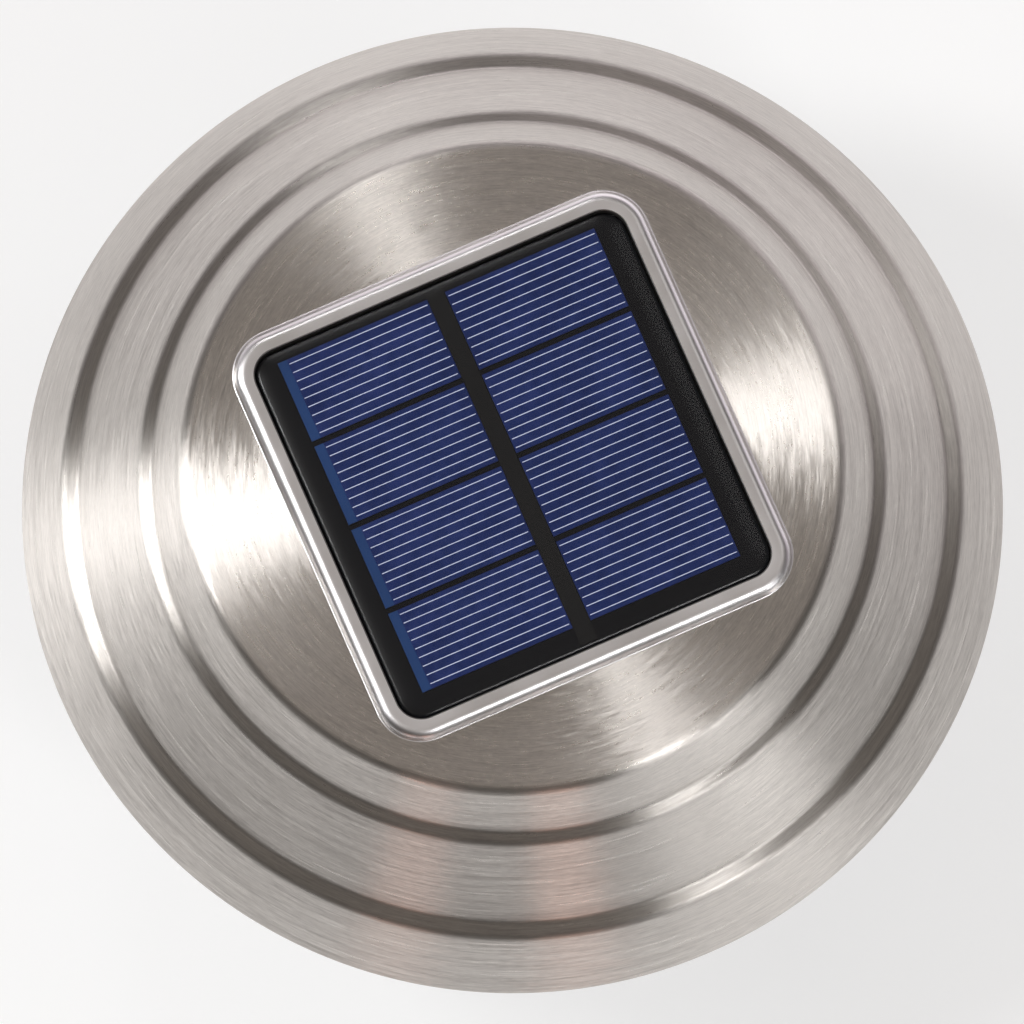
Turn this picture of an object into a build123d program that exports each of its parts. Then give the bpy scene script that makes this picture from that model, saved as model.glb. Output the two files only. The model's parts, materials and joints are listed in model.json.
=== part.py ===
from build123d import *
from math import cos, hypot, radians, sin, sqrt
import os

# A solar fence light. Sizes are in millimetres and angles in degrees. Every height is measured
# from the plane of the cap's rim, and every radius from the light's upright axis. The front is
# towards -Y and the fence towards +Y. The whole light is moved at the end, so that its origin is
# the middle of the bracket's back face.

# Clearances
seat_gap = 0.3  # beside a piece that only sits next to another
slide_gap = 0.3  # round a piece that slides
pin_gap = 0.08  # round a hinge pin
screw_gap = 0.05  # round a screw in its hole

# Steel cap: a pressed dome with two stepped ledges and a flat top. From the flat top outwards it
# has a steep band, a ledge, a steep band, a ledge and a last steep band down to the rim.
cap_sheet = 0.7
cap_height = 36.4
drum_to_cap_top = 1.1
upper_band_run = 4.7
upper_ledge_width = 1.9
upper_ledge_height = 27.3
middle_band_run = 9.7
lower_ledge_width = 2.5
lower_ledge_height = 12.9
lower_band_run = 7.23
ledge_rise = 0.5
rim_bend_loss = 0.63  # how far the rim's bend stays inside its corner
hem_width = 2.4  # width of the rim's turned-in edge
rim_bend = 0.9
ledge_outer_bend = 1.8
ledge_inner_bend = 1.2
top_bend = 2.4

# Raised square lip round the panel's window
lip_width = 3.05
lip_height = 1.3
lip_corner_growth = 2.7  # its outer corners are rounder than the window's
lip_margin = 3.9  # from the lip's corner to the drum's outside, at least
lip_bend = 0.9

# Solar panel
panel_size = 60.0
panel_corner = 3.4
board_thickness = 1.2
cell_thickness = 0.25
resin_over_cells = 1.2
resin_below_lip = 0.3
resin_edge = 0.8
cell_columns = 2
cell_rows = 4
cell_width = 24.45
cell_length = 12.97
column_gap = 2.95
row_gap = 0.9
cells_shift_x = -0.2
cells_shift_y = 1.0
strip_thickness = 0.12

# Rubber frame under the panel
gasket_thickness = 1.0
gasket_margin = 1.6  # how far it reaches past the window
gasket_band = 6.5

# Moulded housing inside the cap
housing_wall = 1.8
hem_clearance = 0.2
bay_clearance = 0.67  # from the battery bay's corner to the drum
collar_wall = 3.4
collar_depth = 7.0
wire_hole_radius = 5.0
wire_hole_y = 12.0

# Base plate, which closes the housing
plate_thickness = 2.0
plate_edge_gap = 0.6
plate_screw_count = 4
boss_radius = 3.4
boss_sink = 0.5  # into the drum's wall
boss_height = 15.0

# Screws
screw_radius = 1.25
screw_head_radius = 2.6
screw_head_height = 1.8
screw_length = 9.0
small_screw_radius = 0.9
small_head_radius = 1.7
small_head_height = 1.1
small_screw_length = 4.0
led_screw_length = 3.0
socket_screw_length = 8.0
socket_screw_room = 1.0  # past the screw's tip
cross_slot_width = 0.6
cross_slot_share = 0.6  # of the head's width and height
head_edge_share = 0.5  # of the head's height

# Battery: one AA-size cell in a bay in the base plate
battery_radius = 7.1
battery_length = 49.2
battery_edge = 0.8
battery_nub_radius = 2.75
battery_nub_length = 1.2
contact_dimple = 0.3
contact_leaf_reach = 2.5
bay_side_gap = 0.55
bay_wall = 1.5
bay_height = 15.0  # from the plate's underside to the bay's ceiling
battery_lift = 0.3  # above the plate's underside
contact_sheet = 0.4
contact_width = 9.0
contact_tab_width = 3.0
contact_tab_height = 2.6
contact_lift = 2.0
contact_dimple_radius = 2.0
contact_leaf_foot = 0.8
contact_leaf_top_gap = 2.5

# Battery door
door_thickness = 1.6
door_overlap_x = 1.7
door_overlap_back = 0.75
door_front_margin = 1.75
door_barrel_radius = 1.5
door_barrel_half = 12.0
door_barrel_web = 2.0
door_ear_radius = 1.9
door_ear_width = 3.0
door_pin_radius = 0.9
door_pin_length = 2.5
door_hinge_setback = 2.2
door_snap_width = 8.0
door_snap_thickness = 0.9
door_snap_height = 2.8
door_grip_count = 5
door_grip_pitch = 3.0
door_grip_width = 1.2
door_grip_length = 4.0
door_grip_depth = 0.5
door_corner = 1.5

# Circuit board and switch
circuit_width = 38.0
circuit_length = 30.0
circuit_thickness = 1.6
circuit_centre_y = 19.0
chip_length = 5.0
chip_width = 6.2
chip_height = 1.6
coil_radius = 3.0
coil_height = 6.0
capacitor_radius = 2.5
capacitor_height = 7.0
connector_length = 7.5
connector_width = 4.5
connector_height = 5.0
component_left_x = -8.0
component_right_x = 10.0
component_step_y = 5.0
circuit_standoff = 4.1
post_radius = 2.4
post_inset = 3.0
post_floor = 1.0  # left under each post's screw hole
switch_y = 28.0
switch_body_length = 13.0
switch_body_width = 6.4
switch_travel = 3.0
switch_stem_length = 3.0
switch_stem_width = 2.4
switch_head_length = 7.0
switch_head_width = 4.6
switch_head_height = 2.0
switch_shoe_length = 4.6
switch_shoe_width = 4.0
switch_shoe_height = 1.4
switch_rib_count = 4
switch_groove_share = 0.45  # of the ribs' pitch
switch_groove_depth = 0.6
switch_head_corner = 0.8

# Light emitters
led_board_radius = 13.4
led_board_thickness = 1.6
led_count = 6
led_ring_radius = 8.6
led_length = 3.5
led_width = 2.8
led_height = 1.0
led_lead_x = 2.2
led_lead_y = 6.0
led_lead_slot_margin = 1.5
led_screw_x = 4.6
led_start_angle = 90.0
reflector_to_door = 2.1
reflector_wall = 1.0
reflector_depth = 6.4
reflector_flare = 1.8

# Leads
lead_radius = 0.65
lead_bend = 3.0
panel_lead_x = 2.4
panel_lead_drop = 9.0
panel_lead_slack = 4.0
panel_lead_end_rise = 5.0
battery_lead_run = 8.0
battery_lead_inset_x = 6.0
battery_lead_inset_y = 3.0
battery_lead_dip = 2.0

# Lens: a fluted bowl that turns to lock
lens_drum_step = 2.4  # from the drum's outside to the lens neck's
lens_wall = 2.0
lens_flange_width = 5.7
lens_flange_thickness = 2.0
lens_gasket_thickness = 1.0
lens_gasket_band = 2.8
bowl_top_step = 1.4  # in from the flange's edge
bowl_taper = 12.2
bowl_bottom = -54.0
bowl_corner = 9.0
dimple_radius = 16.0
dimple_depth = 4.0
dimple_bend = 4.0
flute_count = 36
flute_radius = 3.2
flute_depth = 0.7
flute_start = 3.0  # below the flange
lug_count = 3
lug_angle = 14.0
lug_depth = 1.7
lug_height = 2.2
lug_drop = 0.8  # below the neck's top
lens_twist = 20.0
lug_clearance_angle = 0.6
lug_start_angle = 30.0

# Socket at the back of the light, and the bracket that it hangs on
lens_to_socket = 2.0
socket_depth = 14.1
bracket_thickness = 3.0
bracket_width = 34.0
bracket_height = 44.0
bracket_top = -20.0
bracket_corner = 5.0
bracket_hole_radius = 2.25
bracket_hole_spacing = 30.0
bracket_sink_radius = 4.4
bracket_sink_depth = 1.6
bracket_edge = 0.6
tongue_neck_width = 10.0
tongue_neck_depth = 2.5
tongue_head_width = 18.0
tongue_head_depth = 3.0
tongue_height = 18.0
tongue_top = -34.0
socket_width = 34.0
socket_bottom = -58.0
socket_top_gap = 0.4  # below the cap's rim
socket_corner = 3.0
socket_toe = 9.0
socket_pad_width = 28.0
socket_pad_inset = 2.3
socket_core_count = 3
socket_core_wall = 1.8
socket_core_roof = 6.0
ear_width = 9.0
ear_depth = 9.0
ear_thickness = 3.0
socket_boss_height = 5.0

# Radii and distances that follow from the sizes above, from the inside out
reflector_radius = led_board_radius + seat_gap + reflector_wall + reflector_flare
bay_half_width = battery_radius + bay_side_gap
bay_inside_length = battery_length + battery_nub_length + contact_dimple + 2 * contact_sheet + contact_leaf_reach
bay_half_length = bay_inside_length / 2
door_back = -reflector_radius - reflector_to_door
bay_centre_y = door_back - door_overlap_back - bay_half_width
window_size = panel_size + 2 * seat_gap
window_corner = panel_corner + seat_gap
lip_size = window_size + 2 * lip_width
lip_corner = window_corner + lip_corner_growth
lip_reach = (lip_size / 2 - lip_corner) * sqrt(2) + lip_corner
bay_reach = hypot(bay_half_length + bay_wall, bay_half_width + bay_wall - bay_centre_y)
drum_radius = max(bay_reach + bay_clearance + housing_wall, lip_reach + lip_margin)
drum_inner = drum_radius - housing_wall
plate_screw_ring = drum_inner + boss_sink - boss_radius
cap_top_radius = drum_radius + drum_to_cap_top
upper_ledge_inner = cap_top_radius + upper_band_run
upper_ledge_outer = upper_ledge_inner + upper_ledge_width
lower_ledge_inner = upper_ledge_outer + middle_band_run
lower_ledge_outer = lower_ledge_inner + lower_ledge_width
rim_corner_radius = lower_ledge_outer + lower_band_run
cap_radius = rim_corner_radius - rim_bend_loss
lens_neck_radius = drum_radius + lens_drum_step
lens_flange_radius = lens_neck_radius + lens_flange_width
bowl_top_radius = lens_flange_radius - bowl_top_step
bowl_bottom_radius = bowl_top_radius - bowl_taper
collar_inner = lens_neck_radius + slide_gap
collar_outer = collar_inner + collar_wall
plate_radius = collar_inner - plate_edge_gap
socket_front = lens_flange_radius + lens_to_socket
socket_back = socket_front + socket_depth
fence_distance = socket_back + slide_gap + bracket_thickness

# Heights that follow from the sizes above
lip_top = cap_height + lip_height
resin_top = lip_top - resin_below_lip
cell_top = resin_top - resin_over_cells
board_top = cell_top - cell_thickness
board_bottom = board_top - board_thickness
deck_top = board_bottom - gasket_thickness
floor_bottom = cap_sheet + hem_clearance
floor_top = floor_bottom + housing_wall
plate_bottom = floor_bottom - plate_thickness
neck_top = plate_bottom - seat_gap
lug_top = neck_top - lug_drop
flange_top = -collar_depth - lens_gasket_thickness
flange_bottom = flange_top - lens_flange_thickness
battery_centre_z = plate_bottom + battery_lift + battery_radius
bay_ceiling = plate_bottom + bay_height
battery_end = bay_half_length - contact_sheet - contact_dimple
battery_start = battery_end - battery_nub_length - battery_length
door_top = plate_bottom - seat_gap
door_bottom = door_top - door_thickness
door_front = bay_centre_y - bay_half_width - door_front_margin
door_hinge_y = door_front - door_hinge_setback
door_hinge_z = plate_bottom - door_barrel_radius - seat_gap
circuit_bottom = floor_bottom + circuit_standoff
circuit_top = circuit_bottom + circuit_thickness
led_board_bottom = plate_bottom - led_board_thickness
socket_top = -socket_top_gap
ear_bottom = floor_bottom - ear_thickness
mount_height = bracket_top - bracket_height / 2  # height of the bracket's middle

DOWN = (Align.CENTER, Align.CENTER, Align.MAX)
UP = (Align.CENTER, Align.CENTER, Align.MIN)


def upright_block(width, depth, bottom, top, x=0.0, y=0.0):
    """A box between two heights, centred on x and y."""
    return Pos(x, y, bottom) * Box(width, depth, top - bottom, align=UP)


def rounded_block(width, depth, corner, bottom, top, x=0.0, y=0.0):
    """A box between two heights, with rounded upright edges."""
    outline = Pos(x, y, bottom) * RectangleRounded(width, depth, corner)
    return extrude(outline, amount=top - bottom)


def upright_rod(radius, bottom, top, x=0.0, y=0.0):
    """A cylinder between two heights."""
    return Pos(x, y, bottom) * Cylinder(radius, top - bottom, align=UP)


def turned(points):
    """A solid turned about the light's axis from (radius, height) corners."""
    return revolve(Plane.XZ * make_face(Polyline(*points, close=True)), Axis.Z)


def turned_sector(inner, outer, bottom, top, start, end):
    """A part ring between two angles, measured from +X towards +Y."""
    middle = Pos((inner + outer) / 2, (bottom + top) / 2)
    section = Plane.XZ * middle * Rectangle(outer - inner, top - bottom)
    return Rot(0, 0, start) * revolve(section, Axis.Z, revolution_arc=end - start)


def ring_places(count, radius, start=0.0):
    """Points spread evenly round the axis, as (x, y, angle)."""
    angles = [start + 360 * i / count for i in range(count)]
    return [(radius * cos(radians(a)), radius * sin(radians(a)), a) for a in angles]


# ---------------------------------------------------------------- steel cap


def cap_corners():
    """Corners of the cap's outer face, from the rim up to the flat top's edge."""
    return [
        (rim_corner_radius, 0),
        (lower_ledge_outer, lower_ledge_height),
        (lower_ledge_inner, lower_ledge_height + ledge_rise),
        (upper_ledge_outer, upper_ledge_height),
        (upper_ledge_inner, upper_ledge_height + ledge_rise),
        (cap_top_radius, cap_height),
    ]


def cap_inner_radius(height):
    """Radius of the cap's inner face at a height below the lower ledge."""
    run = rim_corner_radius - lower_ledge_outer
    slant = hypot(run, lower_ledge_height) / lower_ledge_height
    return rim_corner_radius - run * height / lower_ledge_height - cap_sheet * slant


def make_cap():
    corners = [(cap_radius - hem_width, 0), *cap_corners(), (0, cap_height)]
    bends = [rim_bend, ledge_outer_bend, ledge_inner_bend, ledge_outer_bend, ledge_inner_bend, top_bend]
    line = FilletPolyline(*corners, radius=bends)
    sheet = make_face(offset(line, amount=cap_sheet, side=Side.LEFT))
    dome = revolve(Plane.XZ * sheet, Axis.Z)

    foot = cap_height - cap_sheet
    lip = rounded_block(lip_size, lip_size, lip_corner, cap_height - cap_sheet / 2, lip_top)
    lip = fillet(lip.edges().group_by(Axis.Z)[-1], lip_bend)
    flange_size = window_size + 2 * cap_sheet
    flange_corner = window_corner + cap_sheet
    flange = rounded_block(flange_size, flange_size, flange_corner, board_bottom, lip_top - cap_sheet / 2)
    hollow_size = lip_size - 2 * cap_sheet
    hollow = rounded_block(hollow_size, hollow_size, lip_corner - cap_sheet, foot, lip_top - cap_sheet)
    window = rounded_block(window_size, window_size, window_corner, board_bottom, lip_top)
    return dome + lip - (hollow - flange) + flange - window


# ---------------------------------------------------------------- solar panel


def cell_places():
    """Middles of the cells, column by column."""
    pitch_x = cell_width + column_gap
    pitch_y = cell_length + row_gap
    return [
        (
            cells_shift_x + (column - (cell_columns - 1) / 2) * pitch_x,
            cells_shift_y + (row - (cell_rows - 1) / 2) * pitch_y,
        )
        for column in range(cell_columns)
        for row in range(cell_rows)
    ]


def make_panel_board():
    return rounded_block(panel_size, panel_size, panel_corner, board_bottom, board_top)


def make_cells():
    return [upright_block(cell_width, cell_length, board_top, cell_top, x, y) for x, y in cell_places()]


def make_panel_strip():
    width = column_gap - 2 * strip_thickness
    return upright_block(width, panel_size - 2 * resin_edge, board_top, board_top + strip_thickness, cells_shift_x)


def make_resin():
    body = rounded_block(panel_size, panel_size, panel_corner, board_top, resin_top)
    body = fillet(body.edges().group_by(Axis.Z)[-1], resin_edge)
    for piece in [*make_cells(), make_panel_strip()]:
        body -= piece
    return body


def make_panel_gasket():
    outer = window_size + 2 * gasket_margin
    inner = outer - 2 * gasket_band
    frame = rounded_block(outer, outer, window_corner + gasket_margin, deck_top, board_bottom)
    return frame - upright_block(inner, inner, deck_top, board_bottom)


# ---------------------------------------------------------------- housing and base plate


def plate_screw_places():
    return ring_places(plate_screw_count, plate_screw_ring)


def lens_lug_angles():
    """Middle of each lens lug when the lens is locked."""
    return [a for _, _, a in ring_places(lug_count, 1.0, start=lug_start_angle)]


def ear_places():
    """Middles of the socket's two screw ears."""
    x = socket_width / 2 + ear_width / 2
    y = socket_front + ear_depth / 2
    return [(-x, y), (x, y)]


def make_housing():
    body = turned(
        [
            (cap_inner_radius(floor_bottom) - seat_gap, floor_bottom),
            (cap_inner_radius(floor_top) - seat_gap, floor_top),
            (drum_radius, floor_top),
            (drum_radius, deck_top - housing_wall),
            (drum_inner, deck_top),
            (0, deck_top),
            (0, deck_top - housing_wall),
            (drum_inner, deck_top - housing_wall),
            (drum_inner, floor_bottom),
            (collar_inner, floor_bottom),
            (collar_inner, -collar_depth),
            (collar_outer, -collar_depth),
            (collar_outer, floor_bottom),
        ]
    )
    # screw bosses on the drum's inner wall, and bosses for the socket's ears
    for x, y, _ in plate_screw_places():
        body += upright_rod(boss_radius, floor_bottom, floor_bottom + boss_height, x, y)
    for x, y in ear_places():
        body += upright_rod(boss_radius, floor_bottom, floor_top + socket_boss_height, x, y)
    pilot = screw_radius + screw_gap
    for x, y, _ in plate_screw_places():
        body -= upright_rod(pilot, floor_bottom, floor_bottom + screw_length, x, y)
    for x, y in ear_places():
        pilot_top = ear_bottom + socket_screw_length + socket_screw_room
        body -= upright_rod(pilot, floor_bottom, pilot_top, x, y)
    body -= upright_rod(wire_hole_radius, deck_top - housing_wall, deck_top, y=wire_hole_y)
    # bayonet: a groove that each lug turns along, and a slot that it enters by
    groove_radius = lens_neck_radius + lug_depth + slide_gap
    groove_top = lug_top + slide_gap
    groove_bottom = lug_top - lug_height - slide_gap
    half = lug_angle / 2 + lug_clearance_angle
    for a in lens_lug_angles():
        body -= turned_sector(
            drum_radius, groove_radius, groove_bottom, groove_top, a - half - lens_twist, a + half
        )
        body -= turned_sector(
            drum_radius, groove_radius, -collar_depth, groove_top, a - half - lens_twist, a + half - lens_twist
        )
    return body


def post_places():
    """Middles of the posts under the circuit board's corners."""
    x = circuit_width / 2 - post_inset
    y = circuit_length / 2 - post_inset
    return [(sx * x, circuit_centre_y + sy * y) for sx in (-1, 1) for sy in (-1, 1)]


def circuit_screw_places():
    """Two of the posts, at opposite corners, take screws."""
    return [post_places()[0], post_places()[3]]


def hinge_rod(radius, start, end):
    """A rod along the battery door's hinge line, between two places in x."""
    middle = Pos((start + end) / 2, door_hinge_y, door_hinge_z)
    return middle * Rot(0, 90, 0) * Cylinder(radius, end - start)


def make_base_plate():
    plate = upright_rod(plate_radius, plate_bottom, floor_bottom)
    outer_length = 2 * (bay_half_length + bay_wall)
    outer_width = 2 * (bay_half_width + bay_wall)
    plate += upright_block(outer_length, outer_width, floor_bottom, bay_ceiling + bay_wall, y=bay_centre_y)
    plate -= upright_block(
        2 * bay_half_length, 2 * bay_half_width, plate_bottom, bay_ceiling, y=bay_centre_y
    )
    # slots in the bay's ceiling for the contacts' tabs
    tab_slot = 2 * contact_sheet
    for side in (-1, 1):
        x = side * (bay_half_length - tab_slot / 2)
        plate -= upright_block(
            tab_slot, contact_tab_width + 2 * seat_gap, bay_ceiling, bay_ceiling + bay_wall, x, bay_centre_y
        )
    for x, y in post_places():
        plate += upright_rod(post_radius, floor_bottom, circuit_bottom, x, y)
    for x, y in circuit_screw_places():
        plate -= upright_rod(small_screw_radius + screw_gap, plate_bottom + post_floor, circuit_bottom, x, y)
    for x, y, _ in plate_screw_places():
        plate -= upright_rod(screw_radius + screw_gap, plate_bottom, floor_bottom, x, y)
    for x in (-led_screw_x, led_screw_x):
        plate -= upright_rod(small_screw_radius + screw_gap, plate_bottom, floor_bottom, x)
    slot_width = 2 * led_lead_slot_margin
    plate -= upright_block(2 * led_lead_x + slot_width, slot_width, plate_bottom, floor_bottom, y=led_lead_y)
    slot_length = switch_stem_length + switch_travel + 2 * slide_gap
    slot_width = switch_stem_width + 2 * slide_gap
    plate -= upright_block(slot_length, slot_width, plate_bottom, floor_bottom, y=switch_y)
    # ears that carry the battery door's pins
    for side in (-1, 1):
        near = side * (door_barrel_half + seat_gap)
        far = side * (door_barrel_half + seat_gap + door_ear_width)
        low, high = min(near, far), max(near, far)
        ear = hinge_rod(door_ear_radius, low, high)
        ear += upright_block(
            door_ear_width, 2 * door_ear_radius, door_hinge_z, plate_bottom, (low + high) / 2, door_hinge_y
        )
        plate += ear
        plate -= hinge_rod(door_pin_radius + pin_gap, low, high)
    return plate


def make_screw(head_radius, head_height, shank_radius, length):
    """A pan-head screw whose head hangs under z = 0, with a cross slot."""
    head = upright_rod(head_radius, -head_height, 0)
    head = chamfer(head.edges().group_by(Axis.Z)[0], head_height * head_edge_share)
    reach = 2 * head_radius * cross_slot_share
    for turn in (0, 90):
        slot = Box(reach, cross_slot_width, head_height * cross_slot_share, align=UP)
        head -= Pos(0, 0, -head_height) * Rot(0, 0, turn) * slot
    return head + upright_rod(shank_radius, 0, length)


def make_plate_screws():
    screw = make_screw(screw_head_radius, screw_head_height, screw_radius, screw_length)
    return [Pos(x, y, plate_bottom) * screw for x, y, _ in plate_screw_places()]


# ---------------------------------------------------------------- circuit board and switch


def make_circuit_board():
    board = upright_block(circuit_width, circuit_length, circuit_bottom, circuit_top, y=circuit_centre_y)
    for x, y in circuit_screw_places():
        board -= upright_rod(small_screw_radius + screw_gap, circuit_bottom, circuit_top, x, y)
    return board


def make_circuit_components():
    """A chip, a coil, a capacitor and the socket for the leads."""
    low_y = circuit_centre_y - component_step_y
    high_y = circuit_centre_y + component_step_y
    left, right = component_left_x, component_right_x
    chip = upright_block(chip_length, chip_width, circuit_top, circuit_top + chip_height, left, low_y)
    coil = upright_rod(coil_radius, circuit_top, circuit_top + coil_height, right, high_y)
    capacitor = upright_rod(capacitor_radius, circuit_top, circuit_top + capacitor_height, right, low_y)
    connector_top = circuit_top + connector_height
    connector = upright_block(connector_length, connector_width, circuit_top, connector_top, left, high_y)
    return [chip, coil, capacitor, connector]


def make_circuit_screws():
    screw = make_screw(small_head_radius, small_head_height, small_screw_radius, small_screw_length)
    return [Pos(x, y, circuit_top) * Rot(180, 0, 0) * screw for x, y in circuit_screw_places()]


def make_switch_body():
    bottom = floor_bottom + seat_gap
    body = upright_block(switch_body_length, switch_body_width, bottom, circuit_bottom, y=switch_y)
    length = switch_shoe_length + switch_travel + 2 * slide_gap
    width = switch_shoe_width + 2 * slide_gap
    top = floor_bottom + switch_shoe_height + 2 * slide_gap
    return body - upright_block(length, width, bottom, top, y=switch_y)


def make_switch_slider():
    x = -switch_travel / 2
    head_top = plate_bottom - slide_gap
    head_bottom = head_top - switch_head_height
    head = rounded_block(
        switch_head_length, switch_head_width, switch_head_corner, head_bottom, head_top, x, switch_y
    )
    pitch = switch_head_length / (switch_rib_count + 1)
    for i in range(switch_rib_count):
        groove_x = x + (i - (switch_rib_count - 1) / 2) * pitch
        groove_top = head_bottom + switch_groove_depth
        head -= upright_block(
            pitch * switch_groove_share, switch_head_width, head_bottom, groove_top, groove_x, switch_y
        )
    shoe_bottom = floor_bottom + slide_gap
    shoe_top = shoe_bottom + switch_shoe_height
    stem = upright_block(switch_stem_length, switch_stem_width, head_top, shoe_bottom, x, switch_y)
    shoe = upright_block(switch_shoe_length, switch_shoe_width, shoe_bottom, shoe_top, x, switch_y)
    return head + stem + shoe


# ---------------------------------------------------------------- battery


def make_battery():
    """The cell lies along X with its raised end towards +X."""
    start = battery_start
    middle = Pos(start + battery_length / 2, bay_centre_y, battery_centre_z)
    body = middle * Rot(0, 90, 0) * Cylinder(battery_radius, battery_length)
    body = fillet(body.edges().filter_by(GeomType.CIRCLE), battery_edge)
    nub_x = start + battery_length + battery_nub_length / 2
    nub = Pos(nub_x, bay_centre_y, battery_centre_z) * Rot(0, 90, 0)
    return body + nub * Cylinder(battery_nub_radius, battery_nub_length)


def contact_plate(side):
    """A sheet metal plate at one end of the bay, with a tab up through the ceiling."""
    x = side * (bay_half_length - contact_sheet / 2)
    bottom = plate_bottom + contact_lift
    plate = upright_block(contact_sheet, contact_width, bottom, bay_ceiling, x, bay_centre_y)
    tab_top = bay_ceiling + bay_wall + contact_tab_height
    return plate + upright_block(contact_sheet, contact_tab_width, bay_ceiling, tab_top, x, bay_centre_y)


def make_battery_positive():
    face = Pos(bay_half_length - contact_sheet, bay_centre_y, battery_centre_z) * Rot(0, -90, 0)
    return contact_plate(1) + face * Cylinder(contact_dimple_radius, contact_dimple, align=UP)


def make_battery_negative():
    """The plate carries a leaf that bends out towards the cell and back."""
    plate = contact_plate(-1)
    face = -bay_half_length + contact_sheet
    end = battery_start - seat_gap
    low = plate_bottom + contact_lift
    top = bay_ceiling - contact_leaf_top_gap
    path = Polyline((face, low), (end, battery_centre_z), (face + contact_leaf_foot, top))
    leaf = make_face(offset(path, amount=contact_sheet, side=Side.LEFT))
    leaf = extrude(Plane.XZ * leaf, amount=contact_width / 4, both=True)
    foot = upright_block(contact_sheet, contact_width / 2, low, low + contact_sheet, face, bay_centre_y)
    return plate + Pos(0, bay_centre_y, 0) * leaf + foot


def make_battery_door():
    half = bay_half_length + door_overlap_x
    middle_y = (door_front + door_back) / 2
    door = rounded_block(2 * half, door_back - door_front, door_corner, door_bottom, door_top, y=middle_y)
    barrel = hinge_rod(door_barrel_radius, -door_barrel_half, door_barrel_half)
    web_depth = door_front - door_hinge_y + door_barrel_web
    web = upright_block(
        2 * door_barrel_half, web_depth, door_bottom, door_top, y=door_hinge_y + web_depth / 2
    )
    pin_reach = door_barrel_half + door_pin_length
    snap_y = bay_centre_y + bay_half_width - 2 * seat_gap - door_snap_thickness / 2
    snap = upright_block(
        door_snap_width, door_snap_thickness, door_top, door_top + door_snap_height, y=snap_y
    )
    door = door + barrel + web + hinge_rod(door_pin_radius, -pin_reach, pin_reach) + snap
    # finger grooves near the free edge
    for i in range(door_grip_count):
        groove_x = (i - (door_grip_count - 1) / 2) * door_grip_pitch
        groove_y = door_back - door_grip_length
        door -= upright_block(
            door_grip_width, door_grip_length, door_bottom, door_bottom + door_grip_depth, groove_x, groove_y
        )
    return door


# ---------------------------------------------------------------- light emitters


def make_led_board():
    board = upright_rod(led_board_radius, led_board_bottom, plate_bottom)
    for x in (-led_screw_x, led_screw_x):
        board -= upright_rod(small_screw_radius + screw_gap, led_board_bottom, plate_bottom, x)
    return board


def make_leds():
    body = Box(led_length, led_width, led_height, align=DOWN)
    places = ring_places(led_count, led_ring_radius, start=led_start_angle)
    return [Pos(x, y, led_board_bottom) * Rot(0, 0, a) * body for x, y, a in places]


def make_led_screws():
    screw = make_screw(small_head_radius, small_head_height, small_screw_radius, led_screw_length)
    return [Pos(x, 0, led_board_bottom) * screw for x in (-led_screw_x, led_screw_x)]


def make_reflector():
    inner = led_board_radius + seat_gap
    outer = inner + reflector_wall
    mouth = plate_bottom - reflector_depth
    return turned(
        [
            (inner, plate_bottom),
            (outer, plate_bottom),
            (outer + reflector_flare, mouth),
            (inner + reflector_flare, mouth),
        ]
    )


# ---------------------------------------------------------------- leads


def make_lead(points):
    """A thin insulated wire along straight runs joined by round bends."""
    path = FilletPolyline(*points, radius=lead_bend)
    section = Plane(origin=path @ 0, z_dir=path % 0) * Circle(lead_radius)
    return sweep(section, path=path)


def make_panel_lead(side):
    """From the panel's back, through the housing's deck, down to the circuit board."""
    x = side * panel_lead_x
    outer_x = side * (panel_lead_x + panel_lead_slack)
    low_z = circuit_top + panel_lead_end_rise
    return make_lead(
        [
            (x, wire_hole_y, board_bottom),
            (x, wire_hole_y, board_bottom - panel_lead_drop),
            (outer_x, wire_hole_y + panel_lead_slack, low_z + panel_lead_end_rise),
            (x, wire_hole_y + panel_lead_slack, low_z),
            (x, wire_hole_y + panel_lead_slack, circuit_top),
        ]
    )


def make_battery_lead(side):
    """From a contact's tab, over the bay, down to the circuit board."""
    tab_x = bay_half_length - contact_sheet
    z = bay_ceiling + bay_wall + contact_tab_height - lead_radius
    y = circuit_centre_y - circuit_length / 2 + battery_lead_inset_y
    x = circuit_width / 2 - battery_lead_inset_x
    return make_lead(
        [
            (side * tab_x, bay_centre_y, z),
            (side * (tab_x - battery_lead_run), bay_centre_y, z),
            (side * x, (bay_centre_y + y) / 2, z),
            (side * x, y, z - battery_lead_dip),
            (side * x, y, circuit_top),
        ]
    )


def make_led_lead(side):
    """Short and straight, from the circuit board through the plate to the emitters' board."""
    return upright_rod(lead_radius, plate_bottom, circuit_bottom, side * led_lead_x, led_lead_y)


# ---------------------------------------------------------------- lens


def make_lens_gasket():
    inner = collar_inner + (collar_wall - lens_gasket_band) / 2
    return turned(
        [
            (inner, flange_top),
            (inner + lens_gasket_band, flange_top),
            (inner + lens_gasket_band, -collar_depth),
            (inner, -collar_depth),
        ]
    )


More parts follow.
